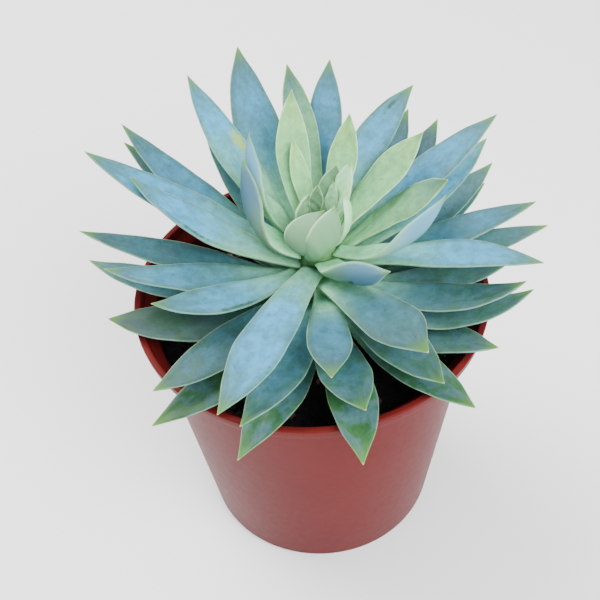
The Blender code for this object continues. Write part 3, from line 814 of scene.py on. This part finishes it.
def leaf_material(name):
    """Blue bloom over teal, fading to a green base, on a skin that lets a little light through."""
    g = LeafGraph(name)
    length = g.times(g.mark("length"), 0.08)
    breadth = g.times(g.mark("breadth"), 1.1)
    streak = g.noise(g.vector(length, breadth, g.mark("draw")), 1.0, 3)
    uneven = g.plus(g.times(g.cloud, 0.30), g.times(g.edge, -0.06))
    reach = g.plus(g.along, uneven, -0.12)
    top, rubbed = top_side(g, reach, streak)
    color = g.mix(g.mark("top_side"), underside(g, reach), top)
    color = single_marks(g, color)
    color = margin_and_tip(g, color)
    rough = g.plus(g.band(g.mottle, 0.3, 0.7, 0.56, 0.66), g.times(rubbed, -0.20))
    relief = g.bump(g.leaf_noise("grain"), 0.025, 0.5)
    relief = g.bump(streak, 0.05, 0.5, relief)
    return g.finish(
        color,
        rough,
        relief,
        Specular_IOR_Level=0.22,
        Subsurface_Weight=0.25,
        Subsurface_Radius=(0.7, 1.0, 0.6),
        Subsurface_Scale=2.5 * MM,
    )


def pot_material():
    g = Graph("pot_plastic")
    place = g.place()
    cloud = g.noise(place, 0.03, 2)
    dust = g.noise(place, 0.5, 5, 0.7)
    fine = g.noise(place, 4.0, 2)
    color = g.fade(cloud, 0.3, 0.7, linear(86, 22, 20), linear(90, 25, 23))
    color = g.mix(g.times(g.band(dust, 0.60, 0.85), 0.12), color, linear(112, 58, 52))
    rough = g.band(dust, 0.3, 0.7, 0.38, 0.43)
    relief = g.bump(fine, 0.02, 0.4)
    return g.finish(color, rough, relief, Specular_IOR_Level=0.05)


def soil_material():
    g = Graph("potting_mix")
    place = g.place()
    lumps = g.noise(place, 0.55, 5, 0.65)
    fine = g.noise(place, 2.5, 4, 0.7)
    color = g.fade(lumps, 0.35, 0.7, linear(9, 8, 10), linear(25, 20, 19))
    color = g.mix(g.times(g.band(fine, 0.62, 0.75), 0.6), color, linear(58, 44, 38))
    relief = g.bump(fine, 0.35, 0.8)
    return g.finish(color, 0.95, relief, Specular_IOR_Level=0.15)


def bark_material():
    g = Graph("bark_bits")
    place = g.place()
    tone = g.noise(place, 0.25, 3)
    fine = g.noise(place, 2.0, 4, 0.7)
    color = g.fade(tone, 0.40, 0.62, linear(60, 45, 40), linear(140, 108, 96))
    color = g.mix(g.times(g.band(fine, 0.5, 0.7), 0.5), color, linear(28, 22, 22))
    relief = g.bump(fine, 0.25, 0.8)
    return g.finish(color, 0.85, relief, Specular_IOR_Level=0.2)


def stem_material():
    """Green between the leaves' bases, and corky brown where it comes out of the soil."""
    g = Graph("stem_skin")
    place = g.place()
    height = g.add("SeparateXYZ", {0: place}, 2)
    tone = g.noise(place, 0.4, 4, 0.6)
    cork = g.fade(tone, 0.35, 0.65, linear(142, 124, 98), linear(96, 82, 64))
    fresh = g.fade(tone, 0.35, 0.65, linear(128, 170, 112), linear(100, 148, 88))
    color = g.fade(height, POT_HEIGHT - 4, POT_HEIGHT + 6, cork, fresh)
    relief = g.bump(g.noise(place, 1.6, 4, 0.7), 0.25, 0.7)
    return g.finish(color, 0.7, relief, Specular_IOR_Level=0.3)


def floor_material():
    g = Graph("pale_floor")
    place = g.place()
    tone = g.noise(place, 0.02, 2)
    color = g.mix(tone, (0.88, 0.87, 0.865, 1), (0.90, 0.89, 0.885, 1))
    return g.finish(color, 0.8, Specular_IOR_Level=0.2)


POT_STEPS = 192
EDGE_STEPS = 5
DRAIN_SIDES = 48


def rounded(profile):
    """The profile with each corner that has a radius turned into a short arc."""
    points = [profile[0][:2]]
    for before, corner, after in zip(profile, profile[1:], profile[2:]):
        radius = corner[2]
        here = np.array(corner[:2])
        if not radius:
            points.append(tuple(here))
            continue
        start = here + unit(np.array(before[:2]) - here) * radius
        end = here + unit(np.array(after[:2]) - here) * radius
        for share in np.linspace(0, 1, EDGE_STEPS):
            arc = start * (1 - share) ** 2 + here * 2 * share * (1 - share) + end * share**2
            points.append(tuple(arc))
    points.append(profile[-1][:2])
    return points


def turned(points, steps):
    """A closed turned shell from (radius, height) points that start and end on the axis."""
    turn = 2 * pi * np.arange(steps) / steps
    inner = points[1:-1]
    verts = [(r * cos(a), r * sin(a), z) for r, z in inner for a in turn]
    first = len(verts)
    verts += [(0, 0, points[0][1]), (0, 0, points[-1][1])]
    faces = list(ring_faces(len(inner), steps))
    last = (len(inner) - 1) * steps
    for side in range(steps):
        faces.append((first, side, (side + 1) % steps))
        faces.append((first + 1, last + (side + 1) % steps, last + side))
    return verts, faces


def make_pot(material):
    step_foot = POT_HEIGHT - RIM_HEIGHT - STEP_HEIGHT
    rim_foot = POT_HEIGHT - RIM_HEIGHT
    inner_edge = POT_RADIUS - RIM_WIDTH
    profile = [
        (0, FLOOR, 0),
        (wall_radius(FLOOR) - WALL, FLOOR, 1.2),
        (wall_radius(step_foot) - WALL, step_foot, 0.3),
        (inner_edge - RIM_DRAFT, rim_foot + STEP_HEIGHT, 0.3),
        (inner_edge, POT_HEIGHT, 0.5),
        (POT_RADIUS, POT_HEIGHT, 0.6),
        (POT_RADIUS - RIM_DRAFT, rim_foot, 0.5),
        (WALL_TOP_RADIUS, step_foot, 0.5),
        (BASE_RADIUS, 0, 1.0),
        (0, 0, 0),
    ]
    verts, faces = turned(rounded(profile), POT_STEPS)
    pot = new_piece("pot_shell", verts, faces, material, ["pot"])
    for hole in range(DRAIN_HOLES):
        place = DRAIN_CIRCLE * heading(360 * hole / DRAIN_HOLES) * MM
        radius = DRAIN_RADIUS * MM
        bpy.ops.mesh.primitive_cylinder_add(
            vertices=DRAIN_SIDES, radius=radius, depth=4 * FLOOR * MM, location=place
        )
        cutter = bpy.context.object
        boolean = pot.modifiers.new("drain hole", "BOOLEAN")
        boolean.operation = "DIFFERENCE"
        boolean.solver = "EXACT"
        boolean.object = cutter
        bpy.context.view_layer.update()
        evaluated = pot.evaluated_get(bpy.context.evaluated_depsgraph_get())
        mesh = bpy.data.meshes.new_from_object(evaluated)
        pot.modifiers.clear()
        pot.data = mesh
        bpy.data.objects.remove(cutter)


ROUND_STEPS = 48
STEM_RINGS = 60
STEM_FOOT_RINGS = 12
CORE_RINGS = 14
SCAR_STEP = 2.6
SCAR_DEPTH = 0.22
SCAR_SHARPNESS = 6
SOIL_RINGS = 56
SOIL_STEPS = 224
SOIL_RELIEF = 1.1
SOIL_MIDDLE = 0.35

# The soil's roughness: how strong each layer is, its random seed, and how wide its lumps are.
SOIL_LAYERS = ((0.55, 3, 5.0), (0.30, 4, 1.9), (0.15, 5, 0.8))
NOISE_CELLS = 64
NOISE_SHIFT = 500

# Loose bits lie inside this radius and this far off the stem's hole.
BITS_RADIUS = 36.5
BITS_SPAN = 37.0
BITS_OFF_STEM = 1.5
BITS_SUNK = 0.25
BITS_SWELL = 0.22
BITS_TILT = 0.3

# How many there are, their random seed, and the least and the most that their size, their
# flatness and their length may be.
Bits = namedtuple("Bits", "name count seed size flatness length")
CRUMBS = Bits("soil_crumbs", 620, 71, (0.30, 0.95), (0.6, 1.0), (0.8, 1.4))
CHIPS = Bits("bark_bits", 70, 72, (0.6, 1.5), (0.25, 0.5), (1.3, 2.4))

TWIGS = 16
TWIG_SEED = 91
TWIG_REACH = (3.0, 8.0)
TWIG_RADIUS = (0.16, 0.34)
TWIG_SIDES = 7
TWIG_RINGS = 9
TWIG_BEND = 0.9
TWIG_SWING = 5
TWIG_TILT = 0.4
TWIG_LIFT = 0.8


def lattice_noise(x, y, seed, scale):
    """Smooth random heights over the plane, between -1 and 1."""
    cells = NOISE_CELLS
    table = np.random.default_rng(seed).uniform(-1, 1, (cells, cells))
    u = np.asarray(x) / scale + NOISE_SHIFT
    v = np.asarray(y) / scale + NOISE_SHIFT
    i = np.floor(u).astype(int)
    j = np.floor(v).astype(int)
    s = smooth_step(0, 1, u - i)
    t = smooth_step(0, 1, v - j)
    left, right = i % cells, (i + 1) % cells
    low, high = j % cells, (j + 1) % cells
    near = table[left, low] * (1 - s) + table[right, low] * s
    far = table[left, high] * (1 - s) + table[right, high] * s
    return near * (1 - t) + far * t


def soil_height(x, y):
    """The height of the soil's rough top over the pot's base."""
    rough = sum(share * lattice_noise(x, y, seed, scale) for share, seed, scale in SOIL_LAYERS)
    return POT_HEIGHT - SOIL_DROP + SOIL_RELIEF * (rough - SOIL_MIDDLE)


def make_soil(material):
    """The mix in the pot, rough on top, with the hole that the stem stands in."""
    foot = FLOOR + GAP
    top = POT_HEIGHT - SOIL_DROP
    edge = wall_radius(top) - WALL - GAP
    turn = 2 * pi * np.arange(SOIL_STEPS) / SOIL_STEPS
    around = np.stack([np.cos(turn), np.sin(turn)], axis=1)
    hole = around * STEM_HOLE_RADIUS + (SHOOT_X, SHOOT_Y)
    rim = around * edge
    hole_foot = POT_HEIGHT + STEM_FOOT - GAP
    rings = [np.column_stack([hole, np.full(SOIL_STEPS, hole_foot)])]
    for share in np.linspace(0, 1, SOIL_RINGS):
        flat = hole * (1 - share) + rim * share
        rings.append(np.column_stack([flat, soil_height(flat[:, 0], flat[:, 1])]))
    low = around * (wall_radius(foot) - WALL - GAP)
    rings.append(np.column_stack([low, np.full(SOIL_STEPS, foot)]))
    verts = np.vstack(rings)
    faces = [tuple(range(SOIL_STEPS)), *ring_faces(len(rings), SOIL_STEPS)]
    last = (len(rings) - 1) * SOIL_STEPS
    faces.append(tuple(range(last, last + SOIL_STEPS))[::-1])
    new_piece("soil_bed", verts, faces, material, ["soil"])


def lump(rng, size, flatness, length):
    """One rough bit: a ball of few faces, pulled about, flattened and drawn out."""
    build = bmesh.new()
    bmesh.ops.create_icosphere(build, subdivisions=2, radius=1.0)
    points = np.array([vert.co for vert in build.verts])
    faces = [tuple(vert.index for vert in face.verts) for face in build.faces]
    build.free()
    pulls = rng.normal(size=(4, 3))
    bumps = np.sin(points @ pulls.T * 1.6 + rng.uniform(0, 6, 4)).sum(axis=1) / 2
    points = points * (1 + BITS_SWELL * bumps)[:, None] * (size * length, size, size * flatness)
    return points, faces


def spot_on_soil(rng):
    """A random place on the soil's top, clear of the wall and the stem."""
    clear = STEM_HOLE_RADIUS + BITS_OFF_STEM
    while True:
        x, y = rng.uniform(-BITS_SPAN, BITS_SPAN, 2)
        if np.hypot(x, y) < BITS_RADIUS and np.hypot(x - SHOOT_X, y - SHOOT_Y) > clear:
            return x, y


def scatter(bits, material):
    """Many rough bits lying on the soil, as one piece."""
    rng = np.random.default_rng(bits.seed)
    verts = []
    faces = []
    for _ in range(bits.count):
        size = rng.uniform(*bits.size)
        points, sides = lump(rng, size, rng.uniform(*bits.flatness), rng.uniform(*bits.length))
        spin = Matrix.Rotation(rng.uniform(0, 2 * pi), 3, "Z")
        spin = spin @ Matrix.Rotation(rng.normal() * BITS_TILT, 3, "Y")
        x, y = spot_on_soil(rng)
        points = points @ np.array(spin).T + (x, y, soil_height(x, y) + size * BITS_SUNK)
        first = sum(len(part) for part in verts)
        verts.append(points)
        faces += [tuple(first + corner for corner in side) for side in sides]
    new_piece(bits.name, np.vstack(verts), faces, material)


def make_twigs(material):
    """A few thin bits of root and straw in the soil's top."""
    rng = np.random.default_rng(TWIG_SEED)
    verts = []
    faces = []
    for _ in range(TWIGS):
        middle = spot_on_soil(rng)
        bearing = rng.uniform(0, 2 * pi)
        reach = rng.uniform(*TWIG_REACH)
        radius = rng.uniform(*TWIG_RADIUS)
        ahead = np.array([cos(bearing), sin(bearing)])
        aside = np.array([-sin(bearing), cos(bearing)])
        first = len(verts)
        for share in np.linspace(-0.5, 0.5, TWIG_RINGS):
            bend = TWIG_BEND * sin(share * TWIG_SWING)
            place = middle + reach * share * ahead + bend * aside
            place = place * min(1, BITS_SPAN / np.hypot(*place))
            height = soil_height(*place) + radius * TWIG_LIFT + TWIG_TILT * share
            for side in range(TWIG_SIDES):
                turn = 2 * pi * side / TWIG_SIDES
                verts.append((*(place + radius * cos(turn) * aside), height + radius * sin(turn)))
        tube = tube_faces(TWIG_RINGS, TWIG_SIDES)
        tube.append(tuple((TWIG_RINGS - 1) * TWIG_SIDES + side for side in range(TWIG_SIDES)))
        faces += [tuple(first + corner for corner in face) for face in tube]
    new_piece("soil_twigs", verts, faces, material)


def turn_on_shoot(name, profile, material, node):
    """A piece turned about the shoot's axis, from radii and heights over the pot's rim."""
    points = [(radius, POT_HEIGHT + height) for radius, height in profile]
    verts, faces = turned(points, ROUND_STEPS)
    verts = np.array(verts) + (SHOOT_X, SHOOT_Y, 0)
    new_piece(name, verts, faces, material, [node])


def make_stem(material):
    """The stem, with the faint scars of old leaves."""
    soil_level = -SOIL_DROP
    shown = np.linspace(STEM_TOP, soil_level, STEM_RINGS)
    buried = np.linspace(soil_level, STEM_FOOT, STEM_FOOT_RINGS)
    heights = np.concatenate([shown, buried[1:]])
    profile = [(0, STEM_TOP)]
    for height in heights:
        radius = stem_radius(height)
        if height < soil_level:
            share = (soil_level - height) / (soil_level - STEM_FOOT)
            radius = radius * (1 - share) + STEM_FOOT_RADIUS * share
        scar = SCAR_DEPTH * abs(sin(pi * height / SCAR_STEP)) ** SCAR_SHARPNESS
        profile.append((radius - scar, height))
    profile.append((0, STEM_FOOT))
    turn_on_shoot("stem_skin", profile, material, "stem")


def make_core(material):
    """The domed tip of the shoot, which the bud's leaves grow from."""
    width = stem_radius(CORE_SHOULDER)
    rise = CORE_TOP - CORE_SHOULDER
    profile = [(0, CORE_TOP)]
    for angle in np.radians(np.linspace(85, 0, CORE_RINGS)):
        profile.append((width * cos(angle), CORE_SHOULDER + rise * sin(angle)))
    foot = STEM_TOP + GAP
    profile += [(stem_radius(foot), foot), (0, foot)]
    turn_on_shoot("bud_core", profile, material, "crown")


# The camera looks along +Y and down, and its focal length is in pixels of the picture.
CAMERA_PITCH = 46.4
CAMERA_ROLL = -3.95
CAMERA_AIM = (-2.95, 0, 72)
CAMERA_DISTANCE = 269.0
CAMERA_FOCAL_PX = 1050


def make_camera():
    pitch = radians(CAMERA_PITCH)
    forward = np.array([0, cos(pitch), -sin(pitch)])
    level = np.array([1.0, 0, 0])
    upright = np.cross(level, forward)
    roll = radians(CAMERA_ROLL)
    right = cos(roll) * level + sin(roll) * upright
    up = -sin(roll) * level + cos(roll) * upright
    place = np.array(CAMERA_AIM) - forward * CAMERA_DISTANCE
    data = bpy.data.cameras.new("camera")
    data.lens = CAMERA_FOCAL_PX / IMAGE_WIDTH * data.sensor_width
    data.clip_start = 0.01
    data.dof.use_dof = False
    camera = bpy.data.objects.new("camera", data)
    view = np.column_stack([right, up, -forward, place * MM])
    camera.matrix_world = Matrix([*view.tolist(), [0, 0, 0, 1]])
    bpy.context.scene.collection.objects.link(camera)
    bpy.context.scene.camera = camera


# Where each soft lamp stands, what it aims at and how wide it is, in metres, with its power in
# watts and its colour.
Lamp = namedtuple("Lamp", "name place aim width power color")
LAMPS = (
    Lamp("key", (-0.40, 0.35, 0.75), (0, 0, 0.07), 0.7, 13.5, (1.0, 0.99, 0.97)),
    Lamp("fill", (0.32, -0.45, 0.58), (0, 0, 0.05), 0.55, 11.0, (0.98, 0.99, 1.0)),
)
ROOM_COLOR = (0.93, 0.96, 1.0, 1)
ROOM_LIGHT = 1.2
FLOOR_SIZE = 4.0


def add_lamp(lamp):
    data = bpy.data.lights.new(lamp.name, "AREA")
    data.shape = "DISK"
    data.size = lamp.width
    data.energy = lamp.power
    data.color = lamp.color
    light = bpy.data.objects.new(lamp.name, data)
    light.location = lamp.place
    to_aim = Vector(lamp.aim) - Vector(lamp.place)
    light.rotation_euler = to_aim.to_track_quat("-Z", "Y").to_euler()
    bpy.context.scene.collection.objects.link(light)


def make_studio():
    world = bpy.data.worlds.new("soft room")
    world.use_nodes = True
    sky = world.node_tree.nodes["Background"]
    sky.inputs["Color"].default_value = ROOM_COLOR
    sky.inputs["Strength"].default_value = ROOM_LIGHT
    bpy.context.scene.world = world
    for lamp in LAMPS:
        add_lamp(lamp)
    bpy.ops.mesh.primitive_plane_add(size=FLOOR_SIZE)
    floor = bpy.context.object
    floor.name = "floor"
    floor.data.materials.append(floor_material())


# How far along a leaf its green base reaches, how strong its blue bloom is, how much of the bloom
# is rubbed off its outer half, and how light its top, its inner third and its underside are
# beside other leaves. The top's and the underside's lightness are partly the leaf's own tone and
# partly painted light and shade; the inner third's is painted light on leaf bases that lie in
# shade among the other leaves.
Look = namedtuple("Look", "green_to bloom rub light inner under", defaults=(1.0, 1.0))

# The leaves are numbered as in LEAVES, from 1.
DEFAULT_LOOK = (0.15, 0.4, 0.2, 0.9)
LOOKS = {
    1: (0.1, 0.1, 1, 1.1, 2.2),
    2: (0.1, 0.2, 0.9, 0.9, 3.5),
    3: (0.1, 0.08, 1, 0.8, 2),
    4: (0.12, 0.06, 0.6, 0.6, 3),
    5: (0.1, 0.15, 0.5, 0.75, 1.8),
    6: (0.1, 0.1, 0.9, 1, 4),
    11: (0.15, 0.4, 0.3, 1.15, 2.6),
    13: (0.15, 0.25, 0.3, 1.1),
    14: (0.15, 0.12, 0.4, 1.2, 1.6),
    17: (0.15, 0.1, 0.4, 1.4, 1.6),
    18: (0.2, 0.3, 0.1, 1, 1.6),
    19: (0.15, 0.3, 0, 0.8),
    20: (0.15, 0.4, 0, 0.75),
    21: (0.15, 0.3, 0.1, 0.9, 1.5),
    22: (0.15, 0.15, 0.1, 1.9, 1.5),
    23: (0.15, 0.25, 0.5, 1.1, 2.4),
    24: (0.1, 0.35, 0.3, 1.05, 1.5),
    25: (0.1, 0.35, 0.4, 0.75, 3),
    26: (0.15, 0.18, 0.5, 1, 2.8),
    27: (0.2, 0.25, 0.4, 0.75, 2.9),
    28: (0.15, 0.32, 0.1, 0.68, 2.4),
    29: (0.35, 0.65, 0.1, 0.88, 2),
    30: (0.26, 0.68, 0.1, 0.97, 1.4),
    31: (0.35, 0.65, 0, 2.1, 1.3),
    32: (0.42, 0.65, 0.2, 0.75, 3.2),
    33: (0.33, 0.68, 0, 0.9),
    34: (0.44, 0.48, 0.2, 0.76, 2.3),
    35: (0.35, 0.8, 0, 1.1, 2),
    36: (0.28, 0.85, 0.2, 1, 1.5),
    37: (0.3, 0.85, 0, 1.15, 1.25),
    38: (0.44, 0.75, 0, 1.05, 2.2),
    39: (0.35, 0.8, 0, 1, 1.4),
    40: (0.38, 0.9, 0.1, 1.3, 1.3),
    41: (0.3, 1.1, 0.2, 1.1),
    42: (0.4, 0.95, 0.1, 1.15, 1.1),
    43: (0.55, 1, 0, 1.3, 0.75),
    44: (0.85, 0.65, 0, 0.78, 1.6),
    45: (0.42, 0.95, 0, 1.2, 0.9),
    46: (0.75, 0.6, 0, 1.8, 1.2, 0.9),
    47: (0.92, 0.6, 0, 0.85, 1.25),
    48: (0.75, 0.7, 0, 1.8, 0.9, 1.6),
    49: (1.2, 0.6, 0, 0.95),
    50: (1.25, 0.5, 0, 1.05),
    51: (1.3, 0.6, 0, 1.15),
    52: (0.75, 0.7, 0, 1.5, 1.6, 0.65),
    53: (0.75, 0.7, 0, 1.6, 0.6, 1.35),
    54: (1.3, 0.5, 0, 1.3),
}

# The same for the bud's leaves, which are pale all over and differ only in how light they are,
# partly by their own tone and partly by painted light and shade, on top and underside alike.
BUD_LIGHTS = (2.0, 0.8, 0.8, 1.8, 0.65, 0.95, 1.8, 0.65)
BUD_LOOKS = [Look(1.45, 0.3, 0.0, light, under=light) for light in BUD_LIGHTS]


def main():
    make_camera()
    make_studio()
    skin = leaf_material("leaf_skin")
    handles = grow(LEAVES)
    for number, leaf in enumerate(LEAVES):
        node = f"leaf_{number + 1:02d}"
        look = Look(*LOOKS.get(number + 1, DEFAULT_LOOK))
        make_leaf("fine_" + node, leaf, handles[number], look, number, skin, "leaf", [node])
    for number, leaf in enumerate(zip(BUD_LEAVES, bud_handles(), BUD_LOOKS)):
        make_leaf(f"bud_leaf_{number + 1}", *leaf, BUD_SEED + number, skin, "bud", ["crown"])
    stem = stem_material()
    make_stem(stem)
    make_core(stem)
    make_pot(pot_material())
    earth = soil_material()
    bark = bark_material()
    make_soil(earth)
    scatter(CRUMBS, earth)
    scatter(CHIPS, bark)
    make_twigs(bark)


main()
